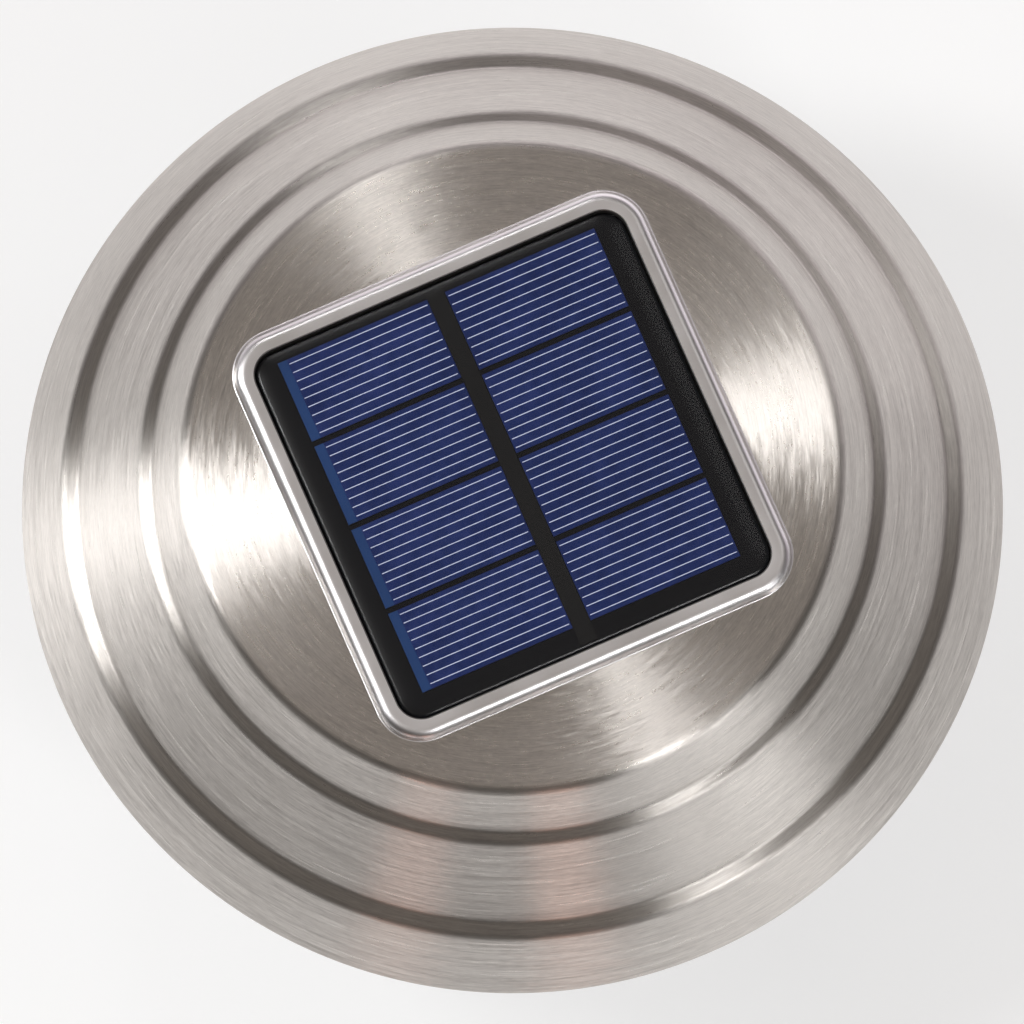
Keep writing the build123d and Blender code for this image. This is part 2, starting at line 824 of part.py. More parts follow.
def make_lens():
    neck_inner = lens_neck_radius - lens_wall
    outer = FilletPolyline(
        (bowl_top_radius, flange_bottom),
        (bowl_bottom_radius, bowl_bottom),
        (dimple_radius, bowl_bottom),
        (0, bowl_bottom + dimple_depth),
        radius=[bowl_corner, dimple_bend],
    )
    inner_floor = bowl_bottom + lens_wall
    inner = FilletPolyline(
        (0, inner_floor + dimple_depth),
        (dimple_radius, inner_floor),
        (bowl_bottom_radius - lens_wall, inner_floor),
        (neck_inner, flange_bottom),
        radius=[dimple_bend, bowl_corner - lens_wall],
    )
    rim = Polyline(
        inner @ 1,
        (neck_inner, neck_top),
        (lens_neck_radius, neck_top),
        (lens_neck_radius, flange_top),
        (lens_flange_radius, flange_top),
        (lens_flange_radius, flange_bottom),
        outer @ 0,
    )
    section = make_face([*outer.edges(), Line(outer @ 1, inner @ 0), *inner.edges(), *rim.edges()])
    lens = revolve(Plane.XZ * section, Axis.Z)
    lens -= flutes()
    for a in lens_lug_angles():
        lens += turned_sector(
            lens_neck_radius - lens_wall / 2,
            lens_neck_radius + lug_depth,
            lug_top - lug_height,
            lug_top,
            a - lug_angle / 2,
            a + lug_angle / 2,
        )
    return lens


def flutes():
    """Shallow grooves down the bowl's side, leaning with its wall."""
    top = Vector(bowl_top_radius, 0, flange_bottom)
    foot = Vector(bowl_bottom_radius, 0, bowl_bottom)
    slope = (foot - top).normalized()
    outward = Vector(-slope.Z, 0, slope.X)
    start = top + slope * flute_start + outward * (flute_radius - flute_depth)
    length = (foot - top).length - flute_start - bowl_corner
    groove = Plane(origin=start, z_dir=slope) * Cylinder(flute_radius, length, align=UP)
    return [Rot(0, 0, a) * groove for _, _, a in ring_places(flute_count, 1.0)]


# ---------------------------------------------------------------- socket and bracket


def tee_slot(neck_width, neck_depth, head_width, head_depth, front, bottom, top):
    """The outline that slides: a neck at the back and a wider head in front of it."""
    head = upright_block(head_width, head_depth, bottom, top, y=front + head_depth / 2)
    neck = upright_block(neck_width, neck_depth, bottom, top, y=front + head_depth + neck_depth / 2)
    return head + neck


def make_mount_socket():
    depth = socket_back - socket_front
    middle_y = (socket_back + socket_front) / 2
    body = upright_block(socket_width, depth, socket_bottom, socket_top, y=middle_y)
    front_foot = body.edges().filter_by(Axis.X).group_by(Axis.Z)[0].sort_by(Axis.Y)[0]
    body = fillet(front_foot, socket_toe)
    body = fillet(body.edges().filter_by(Axis.Z).group_by(Axis.Y)[0], socket_corner)
    # pad that meets the housing's floor, set in from the cap's turned-in rim
    pad_back = socket_back - socket_pad_inset
    pad_y = (socket_front + pad_back) / 2
    body += upright_block(socket_pad_width, pad_back - socket_front, socket_top, floor_bottom, y=pad_y)
    for x, y in ear_places():
        root_x = x - socket_corner / 2 * (1 if x > 0 else -1)
        width = ear_width + socket_corner
        body += rounded_block(width, ear_depth, socket_corner, ear_bottom, floor_bottom, root_x, y)
    for x, y in ear_places():
        body -= upright_rod(screw_radius + screw_gap, ear_bottom, floor_bottom, x, y)
    # moulded-out cores, open at the bottom
    slot_front = fence_distance - bracket_thickness - tongue_neck_depth - tongue_head_depth - slide_gap
    core_front = socket_front + socket_core_wall
    core_back = slot_front - socket_core_wall
    core_width = (socket_width - (socket_core_count + 1) * socket_core_wall) / socket_core_count
    for i in range(socket_core_count):
        x = (i - (socket_core_count - 1) / 2) * (core_width + socket_core_wall)
        body -= upright_block(
            core_width, core_back - core_front, socket_bottom, socket_top - socket_core_roof, x,
            (core_front + core_back) / 2,
        )
    body -= tee_slot(
        tongue_neck_width + 2 * slide_gap,
        tongue_neck_depth,
        tongue_head_width + 2 * slide_gap,
        tongue_head_depth + 2 * slide_gap,
        slot_front,
        socket_bottom,
        tongue_top,
    )
    return body


def make_socket_screws():
    screw = make_screw(screw_head_radius, screw_head_height, screw_radius, socket_screw_length)
    return [Pos(x, y, ear_bottom) * screw for x, y in ear_places()]


def bracket_hole_heights():
    return [mount_height + side * bracket_hole_spacing / 2 for side in (-1, 1)]


def make_bracket():
    outline = Plane.XZ * Pos(0, mount_height) * RectangleRounded(bracket_width, bracket_height, bracket_corner)
    front = fence_distance - bracket_thickness
    plate = Pos(0, fence_distance, 0) * extrude(outline, amount=bracket_thickness)
    plate = chamfer(plate.edges().group_by(Axis.Y)[0], bracket_edge)
    tongue = tee_slot(
        tongue_neck_width,
        tongue_neck_depth,
        tongue_head_width,
        tongue_head_depth,
        front - tongue_neck_depth - tongue_head_depth,
        tongue_top - tongue_height,
        tongue_top,
    )
    plate += tongue
    for z in bracket_hole_heights():
        hole = Pos(0, fence_distance, z) * Rot(90, 0, 0)
        plate -= hole * Cylinder(bracket_hole_radius, bracket_thickness, align=UP)
        sink = Pos(0, front, z) * Rot(-90, 0, 0)
        plate -= sink * Cone(bracket_sink_radius, bracket_hole_radius, bracket_sink_depth, align=UP)
    return plate


# ---------------------------------------------------------------- all pieces

pieces = {
    "cap_shell": make_cap(),
    "panel_board": make_panel_board(),
    "solar_cells": make_cells(),
    "panel_strip": make_panel_strip(),
    "panel_resin": make_resin(),
    "panel_gasket": make_panel_gasket(),
    "housing": make_housing(),
    "base_plate": make_base_plate(),
    "plate_screws": make_plate_screws(),
    "circuit_board": make_circuit_board(),
    "circuit_components": make_circuit_components(),
    "circuit_screws": make_circuit_screws(),
    "switch_body": make_switch_body(),
    "switch_slider": make_switch_slider(),
    "battery_cell": make_battery(),
    "battery_positive": make_battery_positive(),
    "battery_negative": make_battery_negative(),
    "battery_door": make_battery_door(),
    "led_board": make_led_board(),
    "leds": make_leds(),
    "led_screws": make_led_screws(),
    "reflector_cup": make_reflector(),
    "panel_lead_red": make_panel_lead(1),
    "panel_lead_black": make_panel_lead(-1),
    "battery_lead_red": make_battery_lead(1),
    "battery_lead_black": make_battery_lead(-1),
    "led_lead_red": make_led_lead(1),
    "led_lead_black": make_led_lead(-1),
    "lens_gasket": make_lens_gasket(),
    "lens": make_lens(),
    "mount_socket": make_mount_socket(),
    "socket_screws": make_socket_screws(),
    "fence_bracket": make_bracket(),
}

to_fence = Pos(0, -fence_distance, -mount_height)
os.makedirs("parts", exist_ok=True)
for name, shape in pieces.items():
    solids = shape if isinstance(shape, list) else [shape]
    placed = [solid for item in solids for solid in (to_fence * item).solids()]
    export_step(Compound(children=placed) if len(placed) > 1 else placed[0], f"parts/{name}.step")
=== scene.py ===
import json
from math import cos, pi, radians, sin, sqrt

import bmesh
import bpy
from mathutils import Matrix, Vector


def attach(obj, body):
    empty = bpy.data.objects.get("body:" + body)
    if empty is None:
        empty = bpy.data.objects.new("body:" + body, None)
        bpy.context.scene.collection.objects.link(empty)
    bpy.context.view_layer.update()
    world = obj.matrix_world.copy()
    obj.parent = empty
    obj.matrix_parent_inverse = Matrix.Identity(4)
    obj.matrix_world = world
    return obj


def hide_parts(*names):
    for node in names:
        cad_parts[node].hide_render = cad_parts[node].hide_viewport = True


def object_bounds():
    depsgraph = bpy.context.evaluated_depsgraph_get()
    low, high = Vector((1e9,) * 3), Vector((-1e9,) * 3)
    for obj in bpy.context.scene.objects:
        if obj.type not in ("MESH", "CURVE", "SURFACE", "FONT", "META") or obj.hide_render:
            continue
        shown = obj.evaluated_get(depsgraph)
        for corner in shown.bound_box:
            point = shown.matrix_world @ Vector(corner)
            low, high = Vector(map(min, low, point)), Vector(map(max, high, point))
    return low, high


# Shapes are given in mm about the light's upright axis; to_world() takes them to metres in the frame
MM = 0.001
AXIS = Vector((0.0, -76.0, 42.0))  # a point of that axis, at the rim's height

WHITE = (1.0, 1.0, 1.0)
PINK = (1.0, 0.55, 0.42)


# ------------------------------------------------------------------ node helpers


def grey(value):
    return (value, value, value, 1.0)


class Nodes:
    """A node tree, with short ways to add and join nodes."""

    def __init__(self, tree):
        self.tree = tree
        self.tree.nodes.clear()

    def add(self, kind, **settings):
        node = self.tree.nodes.new(kind)
        for key, value in settings.items():
            setattr(node, key, value)
        return node

    def join(self, source, target):
        self.tree.links.new(source, target)

    def put(self, node, socket, value):
        """Sets a socket to a value, or joins another node's output to it."""
        if isinstance(value, bpy.types.NodeSocket):
            self.join(value, node.inputs[socket])
        else:
            node.inputs[socket].default_value = value

    def math(self, operation, *values):
        node = self.add("ShaderNodeMath", operation=operation)
        for i, value in enumerate(values):
            self.put(node, i, value)
        return node.outputs[0]

    def vector(self, operation, *values, scale=None):
        node = self.add("ShaderNodeVectorMath", operation=operation)
        for i, value in enumerate(values):
            self.put(node, i, value)
        if scale is not None:
            self.put(node, "Scale", scale)
        gives_number = operation in ("LENGTH", "DOT_PRODUCT")
        return node.outputs["Value" if gives_number else "Vector"]

    def split(self, vector):
        node = self.add("ShaderNodeSeparateXYZ")
        self.join(vector, node.inputs[0])
        return node.outputs

    def combine(self, x, y, z):
        node = self.add("ShaderNodeCombineXYZ")
        for i, value in enumerate((x, y, z)):
            self.put(node, i, value)
        return node.outputs[0]

    def ramp(self, value, stops):
        """Turns a value into a colour; stops are (value, colour)."""
        node = self.add("ShaderNodeValToRGB")
        self.join(value, node.inputs[0])
        elements = node.color_ramp.elements
        while len(elements) < len(stops):
            elements.new(0.5)
        for element, (place, colour) in zip(elements, stops):
            element.position = place
            element.color = (*colour, 1.0)
        return node.outputs["Color"]

    def level_ramp(self, value, stops):
        """Turns a value into a level; stops are (value, level)."""
        return self.ramp(value, [(place, (level, level, level)) for place, level in stops])


class Material(Nodes):
    """A material's node tree."""

    def __init__(self, name):
        self.material = bpy.data.materials.new(name)
        self.material.use_nodes = True
        super().__init__(self.material.node_tree)

    def place(self):
        """Position in metres, in the object's own frame."""
        return self.add("ShaderNodeTexCoord").outputs["Object"]

    def noise(self, vector, scale=1.0, detail=2.0, roughness=0.5):
        node = self.add("ShaderNodeTexNoise")
        self.join(vector, node.inputs["Vector"])
        self.put(node, "Scale", scale)
        self.put(node, "Detail", detail)
        self.put(node, "Roughness", roughness)
        return node.outputs["Fac"]

    def span(self, value, low, high):
        """Turns a noise value of about 0.25 to 0.75 into low to high."""
        node = self.add("ShaderNodeMapRange")
        self.join(value, node.inputs["Value"])
        sockets = {"From Min": 0.25, "From Max": 0.75, "To Min": low, "To Max": high}
        for socket, number in sockets.items():
            self.put(node, socket, number)
        return node.outputs["Result"]

    def bump(self, height, distance, strength):
        node = self.add("ShaderNodeBump")
        self.join(height, node.inputs["Height"])
        self.put(node, "Distance", distance)
        self.put(node, "Strength", strength)
        return node.outputs["Normal"]

    def principled(self, **values):
        node = self.add("ShaderNodeBsdfPrincipled")
        for name, value in values.items():
            self.put(node, name.replace("_", " "), value)
        return node

    def surface(self, shader):
        output = self.add("ShaderNodeOutputMaterial")
        self.join(shader.outputs[0], output.inputs["Surface"])
        return self.material


# ------------------------------------------------------------------ brushed steel

# Each scratch pattern's fineness across and along the brushing, its detail and a shift of its own
SCRATCHES = {
    "fine": (5600.0, 12.0, 3.0, 0.0),
    "short": (3800.0, 40.0, 2.0, 7.0),
    "long": (1900.0, 3.5, 3.0, 19.0),
    "broad": (420.0, 4.0, 3.0, 31.0),
    "stray": (2400.0, 7.0, 2.0, 53.0),
}
STEEL_TONES = [(0.36, (0.55, 0.521, 0.495)), (0.6, (0.76, 0.72, 0.68))]
STEEL_ROUGHNESS = 0.315
LEAST_ROUGHNESS = 0.235
STREAK_DEPTH = 0.00002  # metres
STREAK_STRENGTH = 0.8
PROFILE_SLOPE = 0.9  # counts height along with radius, to run down the cap's profile

# How much each pattern changes the roughness, and how far it turns the brushing
LONG_SPAN = 0.05
SHORT_SPAN = 0.045
BROAD_SPAN = 0.015
STRAY_TURN = 0.065
FINE_TURN = 0.05

# Painted shade in the pressed creases and at the flat top's edge, darker but for one side: (radius in mm,
# brightness)
GROOVE_SHADE = [
    (48.7, 1.0), (49.3, 0.62), (50.0, 1.0), (53.9, 1.0), (54.6, 0.6), (55.9, 0.6), (56.7, 1.0),
    (65.5, 1.0), (66.3, 0.6), (68.0, 0.6), (68.9, 1.0),
]
RIM_RADIUS = 75.0
# The side of the cap where the painted shade in the creases is lifted, and how far
UNSHADED_SIDE = (0.93, 0.37, 0.0)
UNSHADED_LEVEL = 0.9

# Scratches show most on the flat top
FLAT_TOP_RADIUS = 0.049  # metres
WEAR_ON_BANDS = 0.4
MORE_WEAR_ON_TOP = 0.7


def scratches(t, kind, along, outward):
    """Noise that is drawn out round the light's axis."""
    across, round_axis, detail, shift = SCRATCHES[kind]
    place = t.combine(
        t.math("MULTIPLY_ADD", along, across, shift),
        t.math("MULTIPLY", outward[0], round_axis),
        t.math("MULTIPLY", outward[1], round_axis),
    )
    return t.noise(place, 1.0, detail, 0.6)


def steel_colour(t, streaks, radius, direction):
    """Warm grey streaks, with painted shade in the pressed creases that is lifted on one side."""
    colour = t.ramp(streaks, STEEL_TONES)
    # Painted shade: the pressed creases and the flat top's edge are darkened, less on one side of the cap
    reach = t.math("MULTIPLY", radius, 1000.0 / RIM_RADIUS)
    groove_shade = t.level_ramp(reach, [(r / RIM_RADIUS, level) for r, level in GROOVE_SHADE])
    lean = t.vector("DOT_PRODUCT", direction, UNSHADED_SIDE)
    return t.vector("MULTIPLY", colour, t.math("MAXIMUM", groove_shade, t.math("MULTIPLY", lean, UNSHADED_LEVEL)))


def steel_roughness(t, marks, wear):
    """Smoother along the scratches, and never smoother than a brushed sheet."""
    rough = t.span(marks["long"], STEEL_ROUGHNESS + LONG_SPAN, STEEL_ROUGHNESS - LONG_SPAN)
    short = t.math("MULTIPLY", t.span(marks["short"], SHORT_SPAN, -SHORT_SPAN), wear)
    rough = t.math("ADD", t.math("ADD", rough, short), t.span(marks["broad"], -BROAD_SPAN, BROAD_SPAN))
    return t.math("MAXIMUM", rough, LEAST_ROUGHNESS)


def brushing(t, direction, outward, marks, wear):
    """The tangent that spreads the reflections, turned a little by each scratch."""
    around = t.combine(t.math("MULTIPLY", outward[1], -1.0), outward[0], 0.0)
    stray = t.math("MULTIPLY", t.span(marks["stray"], -STRAY_TURN, STRAY_TURN), wear)
    tilt = t.math("ADD", stray, t.span(marks["fine"], -FINE_TURN, FINE_TURN))
    return t.vector("ADD", direction, t.vector("SCALE", around, scale=tilt))


def steel_material():
    """Steel brushed round the light's axis: each scratch runs a little off true."""
    t = Material("steel")
    x, y, z = t.split(t.vector("SUBTRACT", t.place(), tuple(AXIS * MM)))
    flat = t.combine(x, y, 0.0)
    radius = t.vector("LENGTH", flat)
    direction = t.vector("NORMALIZE", flat)
    outward = t.split(direction)
    along = t.math("SUBTRACT", radius, t.math("MULTIPLY", z, PROFILE_SLOPE))
    marks = {kind: scratches(t, kind, along, outward) for kind in SCRATCHES}
    on_top = t.math("LESS_THAN", radius, FLAT_TOP_RADIUS)
    wear = t.math("MULTIPLY_ADD", on_top, MORE_WEAR_ON_TOP, WEAR_ON_BANDS)
    streaks = t.math("MULTIPLY_ADD", marks["fine"], 0.5, t.math("MULTIPLY", marks["short"], 0.3))
    streaks = t.math("MULTIPLY_ADD", marks["long"], 0.25, t.math("MULTIPLY", streaks, 0.9))
    shader = t.principled(
        Base_Color=steel_colour(t, streaks, radius, direction),
        Metallic=1.0,
        Roughness=steel_roughness(t, marks, wear),
        Anisotropic=1.0,
        Normal=t.bump(streaks, STREAK_DEPTH, STREAK_STRENGTH),
        Tangent=brushing(t, direction, outward, marks, wear),
    )
    return t.surface(shader)


# ------------------------------------------------------------------ other materials

# Moulded plastics: what isn't given here is plastic_material()'s usual value
PLASTICS = {
    "panel_black": {
        "colour": (0.006, 0.006, 0.007),
        "roughness": 0.4,
        "grain": 9000.0,
        "depth": 0.0000005,
        "gloss": 0.05,
    },
    "tape_black": {"colour": (0.0095, 0.009, 0.0085), "roughness": 0.55, "gloss": 0.1},
    "edge_blue": {"colour": (0.02, 0.058, 0.17), "roughness": 0.35, "variation": 0.1, "gloss": 0.1},
    "finger_silver": {"colour": (0.70, 0.74, 0.90), "roughness": 0.45, "variation": 0.05, "gloss": 0.2},
    "seal_rubber": {"colour": (0.02, 0.02, 0.02), "roughness": 0.7},
    "black_plastic": {"colour": (0.022, 0.022, 0.024), "roughness": 0.5},
    "white_plastic": {"colour": (0.78, 0.78, 0.76), "roughness": 0.42, "variation": 0.03},
    "board_green": {"colour": (0.02, 0.16, 0.06), "roughness": 0.3, "coat": 0.6},
    "board_white": {"colour": (0.82, 0.82, 0.8), "roughness": 0.3, "variation": 0.03, "coat": 0.4},
    "component_dark": {"colour": (0.03, 0.03, 0.035), "roughness": 0.5},
    "cell_sleeve": {"colour": (0.1, 0.36, 0.16), "roughness": 0.22, "variation": 0.05, "coat": 0.4},
    "insulator_white": {"colour": (0.75, 0.75, 0.72), "roughness": 0.5, "variation": 0.03},
    "led_yellow": {"colour": (0.85, 0.7, 0.18), "roughness": 0.35, "variation": 0.05},
    "lead_red": {"colour": (0.45, 0.02, 0.015), "roughness": 0.4},
    "lead_black": {"colour": (0.015, 0.015, 0.016), "roughness": 0.4},
}

# Plated and cut metals: colour and roughness
METALS = {
    "screw_steel": ((0.62, 0.62, 0.63), 0.25),
    "contact_nickel": ((0.72, 0.69, 0.62), 0.22),
    "reflector_bright": ((0.9, 0.9, 0.9), 0.06),
    "cut_edge": ((0.16, 0.155, 0.15), 0.5),
}

# Patches, grain and waves are noise scales, to the metre; depths are in metres; a roughness pair is
# for the noise's low and high values
GRAIN_SPAN = 0.03
PLASTIC_PATCHES = 60.0
PLASTIC_SPAN = 0.04
METAL_GRAIN = 3000.0
METAL_PATCHES = 90.0
METAL_DARK = 0.88
METAL_DEPTH = 0.00001

LIP_GRAIN = 9000.0
LIP_PATCHES = 120.0
LIP_TONES = [(0.3, (0.70, 0.685, 0.69)), (0.7, (0.77, 0.755, 0.765))]
LIP_ROUGHNESS = (0.30, 0.35)
LIP_DEPTH = 0.000001

RESIN_IOR = 1.34
RESIN_ROUGHNESS = 0.22
RESIN_TINT = (0.97, 0.98, 1.0)
RESIN_WAVES = 150.0
RESIN_DEPTH = 0.00001

CELL_PATCHES = 160.0
CRYSTALS = 700.0
CELL_TONES = [
    (0.3, (0.009, 0.020, 0.092)), (0.5, (0.013, 0.027, 0.115)), (0.72, (0.021, 0.037, 0.145)),
]

LENS_GRAIN = 4000.0
LENS_PATCHES = 80.0
LENS_TONES = [(0.3, (0.93, 0.95, 0.96)), (0.7, (0.97, 0.98, 0.985))]
LENS_ROUGHNESS = (0.08, 0.13)
LENS_DEPTH = 0.000002
LENS_IOR = 1.49
LENS_ALPHA = 0.8


def lip_material():
    """The lip's satin steel: fine even grain, and faint broad changes of tone."""
    t = Material("steel_lip")
    place = t.place()
    grain = t.noise(place, LIP_GRAIN, 2.0, 0.6)
    broad = t.noise(place, LIP_PATCHES, 2.0)
    even = t.span(broad, *LIP_ROUGHNESS)
    shader = t.principled(
        Base_Color=t.ramp(broad, LIP_TONES),
        Metallic=1.0,
        Roughness=t.math("ADD", even, t.span(grain, -GRAIN_SPAN, GRAIN_SPAN)),
        Normal=t.bump(grain, LIP_DEPTH, 0.3),
    )
    return t.surface(shader)


def plastic_material(
    name, colour, roughness, grain=6000.0, depth=0.00002, variation=0.12, coat=0.0, gloss=0.5
):
    """Moulded plastic with a fine texture and slight changes of tone."""
    t = Material(name)
    place = t.place()
    fine = t.noise(place, grain, 2.0)
    broad = t.noise(place, PLASTIC_PATCHES, 3.0)
    dark = tuple(c * (1 - variation) for c in colour)
    light = tuple(min(1.0, c * (1 + variation)) for c in colour)
    even = t.span(broad, roughness - PLASTIC_SPAN, roughness + PLASTIC_SPAN)
    shader = t.principled(
        Base_Color=t.ramp(broad, [(0.3, dark), (0.7, light)]),
        Roughness=t.math("ADD", even, t.span(fine, -GRAIN_SPAN, GRAIN_SPAN)),
        Normal=t.bump(fine, depth, 0.6),
        Coat_Weight=coat,
        Specular_IOR_Level=gloss,
    )
    return t.surface(shader)


def metal_material(name, colour, roughness):
    """Plated or cut metal with faint handling marks."""
    t = Material(name)
    place = t.place()
    fine = t.noise(place, METAL_GRAIN, 3.0)
    broad = t.noise(place, METAL_PATCHES, 2.0)
    dark = tuple(c * METAL_DARK for c in colour)
    even = t.span(broad, roughness - 0.04, roughness + 0.05)
    shader = t.principled(
        Base_Color=t.ramp(broad, [(0.3, dark), (0.7, colour)]),
        Metallic=1.0,
        Roughness=t.math("ADD", even, t.span(fine, -GRAIN_SPAN, GRAIN_SPAN)),
        Normal=t.bump(fine, METAL_DEPTH, 0.5),
    )
    return t.surface(shader)


def resin_material():
    """Clear cast resin: see-through, and glossy on its outer faces."""
    t = Material("clear_resin")
    gloss = t.add("ShaderNodeBsdfGlossy")
    t.put(gloss, "Color", grey(1.0))
    t.put(gloss, "Roughness", RESIN_ROUGHNESS)
    t.put(gloss, "Normal", t.bump(t.noise(t.place(), RESIN_WAVES, 1.0), RESIN_DEPTH, 0.08))
    clear = t.add("ShaderNodeBsdfTransparent")
    t.put(clear, "Color", (*RESIN_TINT, 1.0))
    fresnel = t.add("ShaderNodeFresnel")
    t.put(fresnel, "IOR", RESIN_IOR)
    outer_face = t.math("SUBTRACT", 1.0, t.add("ShaderNodeNewGeometry").outputs["Backfacing"])
    mix = t.add("ShaderNodeMixShader")
    t.join(t.math("MULTIPLY", fresnel.outputs[0], outer_face), mix.inputs[0])
    t.join(clear.outputs[0], mix.inputs[1])
    t.join(gloss.outputs[0], mix.inputs[2])
    return t.surface(mix)


def cell_material():
    """Dark blue silicon with faint crystal patches."""
    t = Material("cell_blue")
    place = t.place()
    patches = t.noise(place, CELL_PATCHES, 2.0)
    crystals = t.add("ShaderNodeTexVoronoi", feature="F1")
    t.join(place, crystals.inputs["Vector"])
    t.put(crystals, "Scale", CRYSTALS)
    glints = t.math("MULTIPLY", crystals.outputs["Distance"], 0.3)
    shade = t.math("ADD", t.math("MULTIPLY", patches, 0.7), glints)
    tone = t.ramp(shade, CELL_TONES)
    return t.surface(t.principled(Base_Color=tone, Roughness=0.35, Specular_IOR_Level=0.1))


def lens_material():
    """Clear plastic with faint flow marks."""
    t = Material("lens_frosted")
    place = t.place()
    broad = t.noise(place, LENS_PATCHES, 2.0)
    shader = t.principled(
        Base_Color=t.ramp(broad, LENS_TONES),
        Roughness=t.span(broad, *LENS_ROUGHNESS),
        Transmission_Weight=1.0,
        IOR=LENS_IOR,
        Alpha=LENS_ALPHA,
        Normal=t.bump(t.noise(place, LENS_GRAIN, 2.0), LENS_DEPTH, 0.2),
    )
    return t.surface(shader)


def make_finishes():
    """Every material by name, the record's slots among them."""
    finishes = {
        "steel": steel_material(),
        "steel_lip": lip_material(),
        "cell_blue": cell_material(),
        "clear_resin": resin_material(),
        "lens_frosted": lens_material(),
    }
    finishes.update((name, plastic_material(name, **look)) for name, look in PLASTICS.items())
    finishes.update((name, metal_material(name, *look)) for name, look in METALS.items())
    return finishes


# ------------------------------------------------------------------ mesh helpers


def to_world(point):
    """From millimetres about the light's axis to metres in the frame."""
    return tuple((Vector(point) + AXIS) * MM)


def as_it_is(x, y, z):
    return (x, y, z)


def make_object(name, vertices, faces, smooth=True):
    mesh = bpy.data.meshes.new(name)
    mesh.from_pydata([to_world(v) for v in vertices], [], faces)
    shape = bmesh.new()
    shape.from_mesh(mesh)
    bmesh.ops.recalc_face_normals(shape, faces=shape.faces)
    shape.to_mesh(mesh)
    shape.free()
    if smooth:
        mesh.shade_smooth()
    thing = bpy.data.objects.new(name, mesh)
    bpy.context.scene.collection.objects.link(thing)
    return thing


def arc_points(before, corner, after, bend, steps):
    """Points of an arc of radius bend that rounds a corner."""
    a = (Vector(before) - Vector(corner)).normalized()
    b = (Vector(after) - Vector(corner)).normalized()
    half = a.angle(b) / 2
    reach = bend / sin(half) * cos(half)
    middle = Vector(corner) + (a + b).normalized() * (bend / sin(half))
    start = Vector(corner) + a * reach - middle
    end = Vector(corner) + b * reach - middle
    turn = start.angle(end)
    shares = [i / steps for i in range(steps + 1)]
    return [tuple(middle + (start * sin((1 - f) * turn) + end * sin(f * turn)) / sin(turn)) for f in shares]


def rounded_path(points, bends, steps=7):
    """Corners (r, z) joined by straight runs, each inner corner rounded to its bend."""
    path = [points[0]]
    for before, corner, after, bend in zip(points, points[1:], points[2:], bends):
        path += arc_points(before, corner, after, bend, steps) if bend else [corner]
    return [*path, points[-1]]


def square_reach(angle, half, corner):
    """Distance from the middle to a rounded square's edge, at an angle."""
    a, b = abs(cos(angle)), abs(sin(angle))
    a, b = max(a, b), min(a, b)
    inner = half - corner
    if half * b / a <= inner:
        return half / a
    across = inner * (a + b)
    return across + sqrt(max(0.0, across * across - 2 * inner * inner + corner * corner))


def quad_band(low, high, count):
    """Faces between two rings of count vertices that start at low and at high."""
    ends = [(i, (i + 1) % count) for i in range(count)]
    return [(low + i, low + j, high + j, high + i) for i, j in ends]


def ring_mesh(name, loops):
    """A closed ring of loops: each loop is a list of points, and the last joins the first."""
    count = len(loops[0])
    vertices = [p for loop in loops for p in loop]
    faces = []
    for i in range(len(loops)):
        faces += quad_band(i * count, (i + 1) % len(loops) * count, count)
    return make_object(name, vertices, faces)


def turned_mesh(profile, place, around):
    """Vertices and faces of a closed solid turned about an axis: profile is (radius, distance along)."""
    vertices, faces, starts = [], [], []
    for r, along in profile:
        starts.append(len(vertices))
        angles = [2 * pi * i / around for i in range(around)] if r else [0.0]
        vertices += [place(r * cos(a), r * sin(a), along) for a in angles]
    for (r, _), (next_r, _), low, high in zip(profile, profile[1:], starts, starts[1:]):
        for i in range(around):
            j = (i + 1) % around
            if r == 0:
                faces.append((low, high + j, high + i))
            elif next_r == 0:
                faces.append((low + i, low + j, high))
            else:
                faces.append((low + i, low + j, high + j, high + i))
    return vertices, faces


def block_mesh(low, high, place, bevel):
    """Vertices and faces of a box whose edges at its high end are bevelled."""
    (x0, y0, z0), (x1, y1, z1) = low, high
    rings = [(0.0, z0), (0.0, z1 - bevel), (bevel, z1)]
    vertices = []
    for inset, z in rings:
        left, right, near, far = x0 + inset, x1 - inset, y0 + inset, y1 - inset
        vertices += [place(x, y, z) for x, y in ((left, near), (right, near), (right, far), (left, far))]
    sides = [face for k in range(len(rings) - 1) for face in quad_band(4 * k, 4 * k + 4, 4)]
    top = 4 * (len(rings) - 1)
    return vertices, [(0, 3, 2, 1), *sides, (top, top + 1, top + 2, top + 3)]


def prism_mesh(outline, low, high, place=as_it_is):
    """Vertices and faces of an upright prism over an outline of (x, y) points."""
    count = len(outline)
    vertices = [place(x, y, z) for z in (low, high) for x, y in outline]
    ends = [tuple(range(count)), tuple(range(2 * count - 1, count - 1, -1))]
    return vertices, [*quad_band(0, count, count), *ends]


def merged(parts):
    """One list of vertices and faces from several."""
    vertices, faces = [], []
    for more_vertices, more_faces in parts:
        base = len(vertices)
        vertices += more_vertices
        faces += [tuple(base + i for i in face) for face in more_faces]
    return vertices, faces


def applied_mesh(thing):
    """A new mesh of an object as its modifiers or its curve settings make it."""
    graph = bpy.context.evaluated_depsgraph_get()
    return bpy.data.meshes.new_from_object(thing.evaluated_get(graph))


def cut(thing, cutter):
    """Takes the cutter's volume out of a piece, and removes the cutter."""
    modifier = thing.modifiers.new("recess", "BOOLEAN")
    modifier.operation = "DIFFERENCE"
    modifier.object = cutter
    modifier.solver = "EXACT"
    mesh = applied_mesh(thing)
    thing.modifiers.clear()
    old = thing.data
    thing.data = mesh
    bpy.data.meshes.remove(old)
    bpy.data.objects.remove(cutter)
    return thing


# ------------------------------------------------------------------ screws

QUARTER_TURNS = ((1, 0), (0, 1), (-1, 0), (0, -1))  # cosine and sine
SCREW_AROUND = 48

